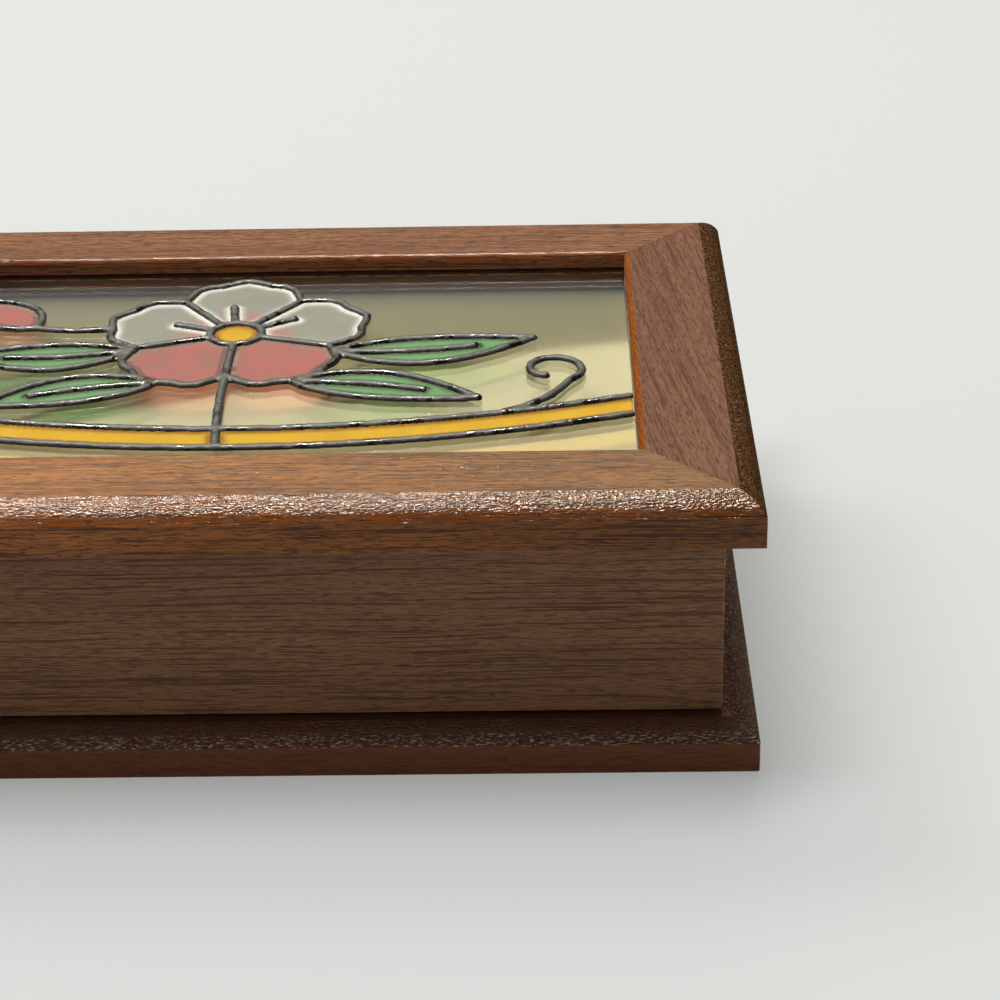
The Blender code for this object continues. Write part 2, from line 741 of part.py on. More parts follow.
def bead_mesh(points, closed, radius):
    """One bead of leading: a round tube along its points, with its caps closed."""
    line = bpy.data.curves.new("bead", "CURVE")
    line.dimensions = "3D"
    line.bevel_depth = radius
    line.bevel_resolution = bead_resolution
    line.use_fill_caps = True
    line.twist_mode = "Z_UP"
    spline = line.splines.new("POLY")
    spline.points.add(len(points) - 1)
    for corner, point in zip(spline.points, points):
        corner.co = (point.x, point.y, 0, 1)
    spline.use_cyclic_u = closed
    tube = bpy.data.objects.new("bead", line)
    bpy.context.scene.collection.objects.link(tube)
    whole = bpy.data.meshes.new_from_object(tube)
    bpy.data.objects.remove(tube)
    shape = bmesh.new()
    shape.from_mesh(whole)
    bmesh.ops.remove_doubles(shape, verts=shape.verts, dist=weld_distance)
    return mesh_from(shape, "bead")


def drop_mesh(point, radius):
    """A round drop where beads end or meet."""
    shape = bmesh.new()
    bmesh.ops.create_uvsphere(
        shape, u_segments=drop_sides, v_segments=drop_rings, radius=radius,
        matrix=Matrix.Translation((*point, 0)),
    )
    return mesh_from(shape, "drop")


def bead_meshes(growth):
    """Every bead and drop of the picture as a mesh on the pane, grown by a clearance."""
    meshes = [bead_mesh(points, closed, bead_radius + growth) for points, closed in strokes]
    meshes += [drop_mesh(point, drop_radius + growth) for point in tips]
    for mesh in meshes:
        mesh.transform(Matrix.Translation((0, 0, glass_top + bead_centre_height)))
    return meshes


def join_all(piece, meshes):
    """Joins a piece with many shapes at once, so that it is one body."""
    bunch = collection(piece.name + "_beads")
    for mesh in meshes:
        tool = hide_tool(piece.name + "_bead", mesh)
        cutters.objects.unlink(tool)
        bunch.objects.link(tool)
    step = piece.modifiers.new("join", "BOOLEAN")
    step.operation = "UNION"
    step.solver = "EXACT"
    step.operand_type = "COLLECTION"
    step.collection = bunch


# Leading: all beads in one network, flat where it lies on the glass
beads = bead_meshes(0)
leading = place("leading", beads[0], lead_grey, on_lid=True)
join_all(leading, beads[1:])
under_low = (-lid_width, -lid_depth, glass_base)
under_high = (lid_width, lid_depth, picture_base)
under = hide_tool("leading_underside", block_mesh("underside", under_low, under_high))
combine(leading, under, "DIFFERENCE")

# Enamel: each pool fills its cell and stops short of the beads
rooms = bead_meshes(enamel_clearance)
bead_room = hide_tool("bead_room", rooms[0])
join_all(bead_room, rooms[1:])
for name, (outline, enamel) in cells.items():
    shape = bmesh.new()
    floor = shape.faces.new([shape.verts.new((point.x, point.y, 0)) for point in outline])
    grown = bmesh.ops.extrude_face_region(shape, geom=[floor])["geom"]
    raised = [part for part in grown if isinstance(part, bmesh.types.BMVert)]
    bmesh.ops.translate(shape, vec=(0, 0, enamel_thickness), verts=raised)
    pool = place(f"enamel_{name}", mesh_from(shape, name), enamel, (0, 0, picture_base), on_lid=True)
    combine(pool, bead_room, "DIFFERENCE")
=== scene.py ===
"""Wooden jewellery chest with a leaded picture in its lid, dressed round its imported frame.
Metres, +Z up. +X is the chest's right side and +Y its back. The lid is shut at rest.
"""
import math

import bmesh
import bpy
from mathutils import Matrix, Vector, kdtree, noise


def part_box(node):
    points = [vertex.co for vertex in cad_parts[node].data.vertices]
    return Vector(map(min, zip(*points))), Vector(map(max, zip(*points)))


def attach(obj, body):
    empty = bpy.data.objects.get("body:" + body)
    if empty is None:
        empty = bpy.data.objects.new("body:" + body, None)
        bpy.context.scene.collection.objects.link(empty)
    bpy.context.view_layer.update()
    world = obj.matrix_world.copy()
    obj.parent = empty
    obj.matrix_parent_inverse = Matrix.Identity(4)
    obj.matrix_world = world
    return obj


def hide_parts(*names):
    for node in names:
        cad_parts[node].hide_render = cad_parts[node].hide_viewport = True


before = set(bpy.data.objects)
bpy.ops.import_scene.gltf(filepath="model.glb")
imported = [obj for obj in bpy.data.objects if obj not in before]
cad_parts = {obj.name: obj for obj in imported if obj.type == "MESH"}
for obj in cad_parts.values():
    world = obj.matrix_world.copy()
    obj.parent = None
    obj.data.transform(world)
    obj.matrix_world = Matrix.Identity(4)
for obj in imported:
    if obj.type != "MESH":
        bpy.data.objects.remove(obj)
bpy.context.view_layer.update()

# Camera: it stands in front of the chest's right half and looks down on the lid with a long
# lens, at the place and turn that the edges of the lid and plinth give.
mm = 0.001
camera_place = (58.02 * mm, -448.37 * mm, 254.44 * mm)
camera_pitch, camera_yaw, camera_roll = 27.502, -1.309, -1.299
lens = bpy.data.cameras.new("camera")
lens.sensor_width = 36
lens.lens = 90.886
lens.clip_start = 10 * mm
camera = bpy.data.objects.new("camera", lens)
bpy.context.scene.collection.objects.link(camera)
camera.matrix_world = (
    Matrix.Translation(camera_place)
    @ Matrix.Rotation(-math.radians(camera_yaw), 4, "Z")
    @ Matrix.Rotation(math.pi / 2 - math.radians(camera_pitch), 4, "X")
    @ Matrix.Rotation(math.radians(camera_roll), 4, "Z")
)
bpy.context.scene.camera = camera
bpy.context.scene.view_settings.view_transform = "Standard"

# Plinth: four bars of an open-pored reddish hardwood, moulded with a convex upper edge,
# mitred, glued round the foot of the case and varnished. Their arrises are rubbed and chipped,
# pale partly from wear and partly as a painted highlight. Pale dashes on the curve are scuffs
# and painted glints, and the curve and ledge carry painted shade.


def select_only(piece):
    bpy.ops.object.select_all(action="DESELECT")
    piece.select_set(True)
    bpy.context.view_layer.objects.active = piece


def take_copy(node, whole_faces=True):
    """A new piece with a node's shape, its loose triangles merged, or joined into whole faces."""
    same_point, same_plane = 0.001 * mm, 0.5
    piece = bpy.data.objects.new("dressed_" + node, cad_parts[node].data.copy())
    bpy.context.scene.collection.objects.link(piece)
    piece.data.materials.clear()
    select_only(piece)
    bpy.ops.mesh.customdata_custom_splitnormals_clear()
    bpy.ops.object.mode_set(mode="EDIT")
    bpy.ops.mesh.select_all(action="SELECT")
    bpy.ops.mesh.remove_doubles(threshold=same_point)
    if whole_faces:
        bpy.ops.mesh.dissolve_limited(angle_limit=math.radians(same_plane))
    bpy.ops.object.mode_set(mode="OBJECT")
    return piece


def mark_worn_highlit(piece, width):
    """Marks the narrow selected faces, those of the rounded arrises, as pale with wear and a
    painted highlight.
    """
    worn_highlit = piece.data.attributes.new("worn_highlit", "FLOAT", "FACE")
    for face in piece.data.polygons:
        rows = [piece.data.vertices[corner].co for corner in face.vertices]
        longest = max((here - there).length for here, there in zip(rows, rows[1:] + rows[:1]))
        worn_highlit.data[face.index].value = float(face.select and face.area < longest * width)


def round_arrises(piece, width, shortest):
    """Rounds the long square edges of a piece, marks them as pale with wear and a painted
    highlight, and eases its blunt edges.
    """
    square, blunt, smooth_under = (50, 180), (17, 50), 16
    for (least, most), offset, steps in ((square, width, 6), (blunt, width / 4, 2)):
        bpy.ops.object.mode_set(mode="EDIT")
        bpy.ops.mesh.select_mode(type="EDGE")
        bpy.ops.mesh.select_all(action="DESELECT")
        shape = bmesh.from_edit_mesh(piece.data)
        for edge in shape.edges:
            turn = math.degrees(edge.calc_face_angle(0.0))
            edge.select_set(least < turn < most and edge.calc_length() > shortest)
        bmesh.update_edit_mesh(piece.data)
        bpy.ops.mesh.bevel(offset=offset, segments=steps, profile=0.5, clamp_overlap=True)
        bpy.ops.mesh.select_mode(type="FACE")
        bpy.ops.object.mode_set(mode="OBJECT")
        if "worn_highlit" not in piece.data.attributes:
            mark_worn_highlit(piece, width)
    bpy.ops.object.shade_smooth_by_angle(angle=math.radians(smooth_under))
    flatten = piece.modifiers.new("flatten", "WEIGHTED_NORMAL")
    flatten.keep_sharp = True
    bpy.ops.object.modifier_apply(modifier="flatten")


def close_mitres(bar, along, reach):
    """Draws a bar's two mitred ends out, so that it all but touches its neighbours."""
    near = 0.05
    bpy.ops.object.mode_set(mode="EDIT")
    bpy.ops.mesh.select_mode(type="FACE")
    for way in (-1, 1):
        bpy.ops.mesh.select_all(action="DESELECT")
        shape = bmesh.from_edit_mesh(bar.data)
        for face in shape.faces:
            upright = abs(face.normal.z) < near
            slant = abs(abs(face.normal.x) - abs(face.normal.y)) < near
            middle = face.calc_center_median()
            end = (middle.x if along == "x" else middle.y) * way > 0
            face.select_set(slant and upright and end)
        bmesh.update_edit_mesh(bar.data)
        step = (way * reach, 0, 0) if along == "x" else (0, way * reach, 0)
        bpy.ops.transform.translate(value=step)
    bpy.ops.object.mode_set(mode="OBJECT")


def feed(tree, node, place, value):
    """Gives one input of a shader node the socket or the value that feeds it."""
    if isinstance(value, bpy.types.NodeSocket):
        tree.links.new(value, node.inputs[place])
    else:
        node.inputs[place].default_value = value


def put(tree, kind, links=(), **settings):
    """Adds a shader node; each link is an input and the socket or the value that feeds it."""
    made = tree.nodes.new("ShaderNode" + kind)
    for name, value in settings.items():
        setattr(made, name, value)
    for place, value in links:
        feed(tree, made, place, value)
    return made


def math_of(tree, operation, first, second=0.0, clamp=False):
    """The value of a sum, product or other operation on two values."""
    links = ((0, first), (1, second))
    return put(tree, "Math", links, operation=operation, use_clamp=clamp).outputs[0]


def product_of(tree, first, *others):
    """The product of some values."""
    for other in others:
        first = math_of(tree, "MULTIPLY", first, other)
    return first


def vector_of(tree, operation, first, second=(0, 0, 0), output="Vector"):
    """The result of an operation on two vectors."""
    return put(tree, "VectorMath", ((0, first), (1, second)), operation=operation).outputs[output]


def map_of(tree, value, low, high, to_low, to_high):
    """A value drawn out from one range to another, and held to it."""
    return put(tree, "MapRange", (
        ("Value", value), ("From Min", low), ("From Max", high),
        ("To Min", to_low), ("To Max", to_high),
    )).outputs["Result"]


def ramp_of(tree, value, low, high):
    """Nought below one value and one above another, smoothly between them."""
    step = put(tree, "MapRange", (("Value", value), ("From Min", low), ("From Max", high)))
    step.interpolation_type = "SMOOTHSTEP"
    return step.outputs["Result"]


def fall_of(tree, value, low, high):
    """One below one value and nought above another, smoothly between them."""
    return math_of(tree, "SUBTRACT", 1.0, ramp_of(tree, value, low, high))


def blend_of(tree, share, first, second, blend_type="MIX"):
    """The colour that a share of the second colour over the first one gives."""
    step = put(tree, "Mix", data_type="RGBA", blend_type=blend_type)
    for place, value in ((0, share), (6, first), (7, second)):
        feed(tree, step, place, (*value, 1) if isinstance(value, tuple) else value)
    return step.outputs[2]


def tint_of(tree, share, colour, tint):
    """A colour that takes a tint where the share is one."""
    return blend_of(tree, share, colour, blend_of(tree, 1.0, colour, tint, "MULTIPLY"))


def grey_of(tree, value):
    """The grey of one value."""
    return put(tree, "CombineColor", ((0, value), (1, value), (2, value))).outputs[0]


def noise_of(tree, vector, turns, detail=2.0, roughness=0.5, output="Fac"):
    """Noise on a place, with so many turns to the metre along each axis or along all three."""
    turns = turns if isinstance(turns, tuple) else (turns, turns, turns)
    spread = put(tree, "Mapping", (("Vector", vector), ("Scale", turns))).outputs[0]
    made = put(tree, "TexNoise", (
        ("Vector", spread), ("Scale", 1.0), ("Detail", detail), ("Roughness", roughness),
    ))
    return made.outputs[output]


def raise_skin(tree, shader, height, strength, depth):
    """Raises a fine relief on a material's surface."""
    skin = put(tree, "Bump", (("Height", height), ("Strength", strength), ("Distance", depth)))
    tree.links.new(skin.outputs[0], shader.inputs["Normal"])


def new_group(name, inputs, outputs):
    """A node group with named inputs and outputs, and its two ends."""
    tree = bpy.data.node_groups.new(name, "ShaderNodeTree")
    for title, kind in inputs:
        tree.interface.new_socket(name=title, in_out="INPUT", socket_type="NodeSocket" + kind)
    for title, kind in outputs:
        tree.interface.new_socket(name=title, in_out="OUTPUT", socket_type="NodeSocket" + kind)
    given_end, made_end = tree.nodes.new("NodeGroupInput"), tree.nodes.new("NodeGroupOutput")
    return tree, given_end.outputs, made_end.inputs


def new_material(name, **values):
    """A material with one main shader, and the place on the piece that its patterns read."""
    made = bpy.data.materials.new(name)
    made.use_nodes = True
    tree = made.node_tree
    shader = tree.nodes["Principled BSDF"]
    for title, value in values.items():
        shader.inputs[title.replace("_", " ")].default_value = value
    place = tree.nodes.new("ShaderNodeTexCoord").outputs["Object"]
    return made, tree, shader, place


def dress(piece, material, body, node):
    """Gives a finished piece its material and says what it rides on and stands for."""
    piece.data.materials.append(material)
    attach(piece, body)
    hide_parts(node)


# Grain of a wood with open pores, along the x axis of the place that it is given: wavy growth
# lines, fibres, short sunk pores and long veins, under a varnish that chips and dries in an
# orange peel. The chips on the rounded arrises are pale, partly wear and partly a painted
# highlight. Each pattern has its turns to the metre, detail, roughness and ramp.
grain_patterns = {
    "growth": ((6, 520, 520), 4.0, 0.65, (0.34, 0.66)),
    "broad": ((7, 80, 80), 2.0, 0.5, (0.3, 0.7)),
    "fibre": ((260, 3600, 3600), 3.0, 0.65, None),
    "pore": ((400, 4900, 4900), 0.5, 0.4, (0.59, 0.64)),
    "vein": ((26, 2500, 2500), 3.0, 0.6, (0.57, 0.61)),
}
varnish_patterns = {
    "peel": ((1400, 2900, 2900), 1.0, 0.5, None),
    "chips_and_highlights": ((300, 900, 900), 3.0, 0.7, (0.42, 0.56)),
}
sway_turns, sway_width = (9, 60, 60), 4 * mm
growth_share, broad_share = 0.6, 0.4
fibre_darkens, fibre_lightens = -0.38, 0.36
chip_and_highlight_colour, chip_and_highlight_paleness, chip_and_highlight_share = (0.78, 0.58, 0.42), 0.7, 0.8
fibre_dulls, pore_dulls, chip_dulls = 0.06, 0.12, 0.2
fibre_height, pore_depth, chip_depth = 0.35, 0.5, 0.6
grain, given, out = new_group(
    "wood grain",
    (
        ("Vector", "Vector"), ("Pale", "Color"), ("Dark", "Color"), ("Pore", "Color"),
        ("Figure", "Float"), ("Pores", "Float"), ("WornHighlit", "Float"), ("Sheen", "Float"),
        ("Peel", "Float"), ("Lines", "Float"),
    ),
    (("Color", "Color"), ("Roughness", "Float"), ("Height", "Float")),
)
sway = noise_of(grain, given["Vector"], sway_turns, output="Color")
sway = vector_of(grain, "SUBTRACT", sway, (0.5, 0.5, 0.5))
sway = vector_of(grain, "MULTIPLY", sway, (0.0, sway_width, sway_width))
wavy = vector_of(grain, "ADD", given["Vector"], sway)
found = {}
for patterns, where in ((grain_patterns, wavy), (varnish_patterns, given["Vector"])):
    for name, (turns, detail, roughness, ramp) in patterns.items():
        found[name] = noise_of(grain, where, turns, detail, roughness)
        if ramp:
            found[name] = ramp_of(grain, found[name], *ramp)
fine_bands, broad_bands = (
    product_of(grain, found["growth"], growth_share),
    product_of(grain, found["broad"], broad_share),
)
mix = product_of(grain, math_of(grain, "ADD", fine_bands, broad_bands), given["Figure"])
colour = blend_of(grain, mix, given["Pale"], given["Dark"])
tone = map_of(grain, found["fibre"], 0.3, 0.7, fibre_darkens, fibre_lightens)
tone = math_of(grain, "ADD", 1.0, product_of(grain, tone, given["Figure"]))
colour = blend_of(grain, 1.0, colour, grey_of(grain, tone), "MULTIPLY")
short_pores, long_veins = (
    product_of(grain, found["pore"], given["Pores"]),
    product_of(grain, found["vein"], given["Lines"]),
)
open_pore = math_of(grain, "MAXIMUM", short_pores, long_veins)
colour = blend_of(grain, open_pore, colour, given["Pore"])
# Pale rounded arrises: chips of bare wood, partly wear and partly a painted highlight.
chips_and_highlights = product_of(grain, found["chips_and_highlights"], given["WornHighlit"])
bare_and_highlit = blend_of(grain, chip_and_highlight_paleness, given["Pale"], chip_and_highlight_colour)
colour = blend_of(grain, product_of(grain, chips_and_highlights, chip_and_highlight_share), colour, bare_and_highlit)
rough = given["Sheen"]
for pattern, dulls in (
    (found["fibre"], fibre_dulls), (open_pore, pore_dulls), (chips_and_highlights, chip_dulls),
):
    rough = math_of(grain, "ADD", rough, product_of(grain, pattern, dulls))
height = product_of(grain, found["fibre"], fibre_height)
height = math_of(grain, "ADD", height, product_of(grain, found["peel"], given["Peel"]))
for pattern, depth in ((open_pore, pore_depth), (chips_and_highlights, chip_depth)):
    height = math_of(grain, "SUBTRACT", height, product_of(grain, pattern, depth))
for title, value in (("Color", colour), ("Roughness", rough), ("Height", height)):
    grain.links.new(value, out[title])


def wood(
    name, pale, dark, pore, along, shift, figure=1.0, pores=0.8, lines=0.5, sheen=0.2, gloss=0.5,
    slant=0.0, painted_light_left=0.0, scuffs_and_glints=0.0, scuffed_and_glinting_top=0.0, scuff_and_glint_run=-35, scuffs_and_glints_under=1.2,
    outward=(0, 0), painted_curve_tint=None, painted_lip_tint=(1.0, 0.7, 0.3), painted_ledge_shade=None,
):
    """Varnished wood whose grain runs along x or y, cut from its own place in the log.
    A moulding's outer curve, inner lip and level ledge take tints of painted light and shade,
    and pale scuff marks with painted glints run along the curve.
    """
    level_range, bent_range, upper_range = (0.965, 0.99), (0.15, 0.3), (0.54, 0.72)
    outer_range, scuff_and_glint_range = (-0.02, 0.06), (0.57, 0.64)
    curve_peel, flat_peel, relief = 1.9, 0.12, 0.16 * mm
    scuff_and_glint_turns, scuff_and_glint_colour, scuff_and_glint_fade = (900, 5200, 5200), (0.80, 0.60, 0.36), 0.12
    made, tree, shader, place = new_material(name, IOR=1.5, Specular_IOR_Level=gloss)
    normal = place.node.outputs["Normal"]
    turn = math.radians(slant) if along == "x" else math.radians(slant) - math.pi / 2
    laid = put(tree, "Mapping", (
        ("Vector", place), ("Location", shift), ("Rotation", (0, 0, turn)),
    ), vector_type="TEXTURE").outputs[0]
    facing_up = put(tree, "SeparateXYZ", ((0, normal),)).outputs["Z"]
    facing_out = vector_of(tree, "DOT_PRODUCT", normal, (*outward, 0), "Value")
    outer = ramp_of(tree, facing_out, *outer_range)
    level = ramp_of(tree, facing_up, *level_range)
    bent = math_of(tree, "SUBTRACT", ramp_of(tree, facing_up, *bent_range), level)
    curved = product_of(tree, bent, outer)
    lip = math_of(tree, "SUBTRACT", bent, curved)
    upper = ramp_of(tree, facing_up, *upper_range)
    upper = math_of(tree, "SUBTRACT", upper, level, clamp=True)
    peel = math_of(tree, "ADD", product_of(tree, upper, outer, curve_peel), flat_peel)
    edge = put(tree, "Attribute", attribute_name="worn_highlit").outputs["Fac"]
    cut = put(tree, "Group", (
        ("Vector", laid), ("WornHighlit", edge), ("Peel", peel),
        ("Figure", figure), ("Pores", pores), ("Lines", lines), ("Sheen", sheen),
        ("Pale", (*pale, 1)), ("Dark", (*dark, 1)), ("Pore", (*pore, 1)),
    ), node_tree=grain)
    colour = cut.outputs["Color"]
    # Painted light: the colour grows paler to the left, where more of the light falls.
    if painted_light_left:
        across = put(tree, "SeparateXYZ", ((0, place),)).outputs["X"]
        painted_light_drift = math_of(tree, "SUBTRACT", 1.0, product_of(tree, across, painted_light_left))
        colour = blend_of(tree, 1.0, colour, grey_of(tree, painted_light_drift), "MULTIPLY")
    # Painted light and shade: the outer curve, inner lip and level ledge are tinted by the way
    # that they face.
    if painted_curve_tint:
        colour = tint_of(tree, curved, colour, painted_curve_tint)
        colour = tint_of(tree, lip, colour, painted_lip_tint)
    if painted_ledge_shade:
        colour = tint_of(tree, level, colour, painted_ledge_shade)
    # Pale slanting dashes: partly scuffs in the varnish and partly painted glints where the
    # lamps' sparkle would show.
    if scuffs_and_glints:
        askew = put(tree, "Mapping", (
            ("Vector", place), ("Rotation", (0, 0, math.radians(scuff_and_glint_run))),
        ), vector_type="TEXTURE").outputs[0]
        line = ramp_of(tree, noise_of(tree, askew, scuff_and_glint_turns, 1.5), *scuff_and_glint_range)
        low_enough = fall_of(tree, facing_up, scuffs_and_glints_under - scuff_and_glint_fade, scuffs_and_glints_under)
        scuff_and_glint_place = math_of(tree, "MAXIMUM", curved, product_of(tree, level, scuffed_and_glinting_top))
        share = product_of(tree, line, low_enough, scuff_and_glint_place, scuffs_and_glints)
        colour = blend_of(tree, share, colour, scuff_and_glint_colour)
    tree.links.new(colour, shader.inputs["Base Color"])
    tree.links.new(cut.outputs["Roughness"], shader.inputs["Roughness"])
    raise_skin(tree, shader, cut.outputs["Height"], 1.0, relief)
    return made


arris = 0.22 * mm
mitre_reach = 0.19 * mm
long_edge = 5 * mm
sides_along = {"front": "x", "back": "x", "left": "y", "right": "y"}
away_from_middle = {"front": (0, -1), "back": (0, 1), "left": (-1, 0), "right": (1, 0)}
plinth_pale, plinth_dark = (0.31, 0.108, 0.045), (0.19, 0.066, 0.028)
plinth_pore = (0.012, 0.004, 0.002)
# Painted shade: the plinth's curve is darkened, and the ledge of the front and back bars is
# darkened as if under the lid's overhang.
long_bar = dict(
    gloss=0.4, scuff_and_glint_run=0, scuffs_and_glints_under=0.86,
    painted_curve_tint=(0.46, 0.38, 0.24), painted_ledge_shade=(0.38, 0.34, 0.28),
)
plinth_looks = {
    "front": long_bar,
    "back": long_bar,
    "left": dict(gloss=0.4, scuffed_and_glinting_top=1.0, painted_curve_tint=(0.46, 0.38, 0.24)),
    "right": dict(gloss=0.03, scuffed_and_glinting_top=1.0, painted_curve_tint=(0.55, 0.50, 0.38)),
}
for number, (side, along) in enumerate(sides_along.items()):
    bar = take_copy(f"plinth_{side}")
    close_mitres(bar, along, mitre_reach)
    round_arrises(bar, arris, long_edge)
    finish = wood(
        f"plinth_wood_{side}", plinth_pale, plinth_dark, plinth_pore, along,
        (0.31 * number, 0.13 * number, 0.07), figure=0.45, pores=0.35, lines=0.25, sheen=0.15,
        scuffs_and_glints=0.9, outward=away_from_middle[side], **plinth_looks[side],
    )
    dress(bar, finish, "base", f"plinth_{side}")

# Case: four boards of the same wood, stained darker, mitred at the corners and glued. The
# varnish is thin, so their fine level grain shows, and the corners and lower edge are rubbed
# pale, partly from wear and partly as a painted highlight.
case_pale, case_dark, case_pore = (0.41, 0.19, 0.083), (0.25, 0.115, 0.052), (0.06, 0.026, 0.012)
for number, (side, along) in enumerate(sides_along.items()):
    board = take_copy(f"board_{side}")
    close_mitres(board, along, mitre_reach)
    round_arrises(board, arris, long_edge)
    finish = wood(
        f"case_wood_{side}", case_pale, case_dark, case_pore, along,
        (0.17 + 0.23 * number, 0.4 - 0.11 * number, 0.02), figure=0.6, pores=0.5, lines=0.7,
        sheen=0.28, gloss=0.12 if side == "right" else 0.5,
    )
    dress(board, finish, "base", f"board_{side}")

# Bottom panel: a thin plain board of paler wood, let into a rebate of the plinth from below
# and left with little varnish.
panel = take_copy("bottom_panel")
round_arrises(panel, 0.15 * mm, long_edge)
finish = wood(
    "panel_wood", (0.42, 0.27, 0.15), (0.27, 0.16, 0.08), (0.12, 0.07, 0.035), "x",
    (0.6, 0.2, 0.1), pores=0.4, sheen=0.5,
)
dress(panel, finish, "base", "bottom_panel")

# Lid frame: four mitred bars of the same wood, each from another board, with a convex outer
# edge, a rounded inner edge and a rebate for the glass. The varnish has caught grain and dust,
# and the right bar has lost its gloss; the colours of the right and back bars carry a painted
# reflection in place of the sheen, and all four carry painted light and shade on curve and lip.
rail_pore = (0.085, 0.026, 0.010)
# Painted light and shade on the rails: the warm tint deepens the curves and lights the inner lips
# orange; the dark tint shades the right bar's curve and lights its lip.
painted_warm_edge = dict(painted_curve_tint=(0.95, 0.76, 0.28), painted_lip_tint=(1.05, 0.68, 0.28))
painted_dark_edge = dict(painted_curve_tint=(0.36, 0.24, 0.12), painted_lip_tint=(1.35, 0.75, 0.25))
long_rail = dict(figure=0.8, pores=0.75, lines=0.85, **painted_warm_edge)
short_rail = dict(figure=0.6, pores=0.5, lines=0.5, scuffs_and_glints=0.45)
rail_looks = {
    "front": dict(
        pale=(0.56, 0.195, 0.036), dark=(0.33, 0.098, 0.017), gloss=0.5, painted_light_left=4.2,
        **long_rail,
    ),
    # Painted reflection: the back bar has little gloss and the right bar none, so their colours
    # are made lighter, the right one also bluer, to paint in the sheen.
    "back": dict(
        pale=(0.41, 0.155, 0.066), dark=(0.25, 0.09, 0.036), gloss=0.15, **long_rail,
    ),
    "left": dict(
        pale=(0.23, 0.095, 0.035), dark=(0.13, 0.05, 0.018), gloss=0.3, slant=-8,
        **painted_warm_edge, **short_rail,
    ),
    "right": dict(
        pale=(0.32, 0.170, 0.113), dark=(0.215, 0.110, 0.073), gloss=0.0, slant=8,
        **painted_dark_edge, **short_rail,
    ),
}
for number, (side, along) in enumerate(sides_along.items()):
    rail = take_copy(f"lid_rail_{side}")
    close_mitres(rail, along, mitre_reach)
    round_arrises(rail, arris, long_edge)
    finish = wood(
        f"lid_wood_{side}", pore=rail_pore, along=along,
        shift=(0.05 + 0.37 * number, 0.21 * number, 0.33), sheen=0.13,
        outward=away_from_middle[side], **rail_looks[side],
    )
    dress(rail, finish, "lid", f"lid_rail_{side}")

# Glazing beads: four thin mitred strips of dark wood, pinned in the lid's rebate, which hold
# the glass up against the lip.
strip_pale, strip_dark = (0.11, 0.05, 0.028), (0.06, 0.026, 0.015)
strip_pore = (0.01, 0.005, 0.003)
for number, (side, along) in enumerate(sides_along.items()):
    strip = take_copy(f"glazing_bead_{side}")
    round_arrises(strip, 0.2 * mm, 2 * mm)
    finish = wood(
        f"strip_wood_{side}", strip_pale, strip_dark, strip_pore, along,
        (0.7 + 0.2 * number, 0.1, 0.5), pores=0.5, sheen=0.4,
    )
    dress(strip, finish, "lid", f"glazing_bead_{side}")

# Backing board: a sheet of cream card tacked under the frame, a centimetre below its top.
# It is matt, faintly fibrous and has a few specks of dust on it.
card = take_copy("backing_board")
round_arrises(card, 0.2 * mm, long_edge)
finish, tree, shader, place = new_material("cream_card", Roughness=0.75, Specular_IOR_Level=0.0)
mottle = noise_of(tree, place, 90, 3.0)
colour = blend_of(tree, mottle, (0.455, 0.40, 0.225), (0.495, 0.44, 0.255))
speck = ramp_of(tree, noise_of(tree, place, 900, 1.0), 0.74, 0.78)
speck_colour, speck_share = (0.30, 0.24, 0.12), 0.45
colour = blend_of(tree, product_of(tree, speck, speck_share), colour, speck_colour)
tree.links.new(colour, shader.inputs["Base Color"])
raise_skin(tree, shader, noise_of(tree, place, 2500, 3.0), 0.3, 0.05 * mm)
dress(card, finish, "lid", "backing_board")

# Glass: a clear pane of 1.8 mm float glass with dulled edges, laid in the rebate from below.
# Lamps and soft light pass straight through it, so that the card behind it is lit.
pane = take_copy("glass_pane")
round_arrises(pane, 0.15 * mm, long_edge)


def let_light_through(material, tint, soft_light_too=False):
    """Lamps, and soft light too if asked, shine through a see-through material with its tint."""
    tree = material.node_tree
    shader = tree.nodes["Principled BSDF"]
    through = put(tree, "BsdfTransparent", (("Color", (*tint, 1)),))
    path = put(tree, "LightPath")
    lit = path.outputs["Is Shadow Ray"]
    if soft_light_too:
        lit = math_of(tree, "MAXIMUM", lit, path.outputs["Is Diffuse Ray"])
    both = put(tree, "MixShader", ((0, lit), (1, shader.outputs[0]), (2, through.outputs[0])))
    tree.links.new(both.outputs[0], tree.nodes["Material Output"].inputs["Surface"])


finish, tree, shader, place = new_material(
    "clear_glass", Roughness=0.02, IOR=1.5, Transmission_Weight=1.0,
    Base_Color=(0.97, 0.985, 0.97, 1),
)
let_light_through(finish, (0.92, 0.93, 0.92), soft_light_too=True)
dress(pane, finish, "lid", "glass_pane")

# Leading: a dark grey relief paste piped on the glass in round beads, with drops where they
# start, end and meet. It dries lumpy, dull in some places and glossy in others.
glass_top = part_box("glass_pane")[1].z


def remesh(piece, cell):
    """Gives a piece an even skin of small squares."""
    skin = piece.modifiers.new("skin", "REMESH")
    skin.mode = "VOXEL"
    skin.voxel_size = cell
    bpy.ops.object.modifier_apply(modifier="skin")


def soften(piece, times):
    """Rounds off a piece's skin by so many passes."""
    ease = piece.modifiers.new("soften", "SMOOTH")
    ease.factor = 0.5
    ease.iterations = times
    bpy.ops.object.modifier_apply(modifier="soften")


def points_of(piece):
    """Each point of a mesh with the way that it faced before any point is moved."""
    facing = [corner.normal.copy() for corner in piece.data.vertices]
    return list(zip(piece.data.vertices, facing))


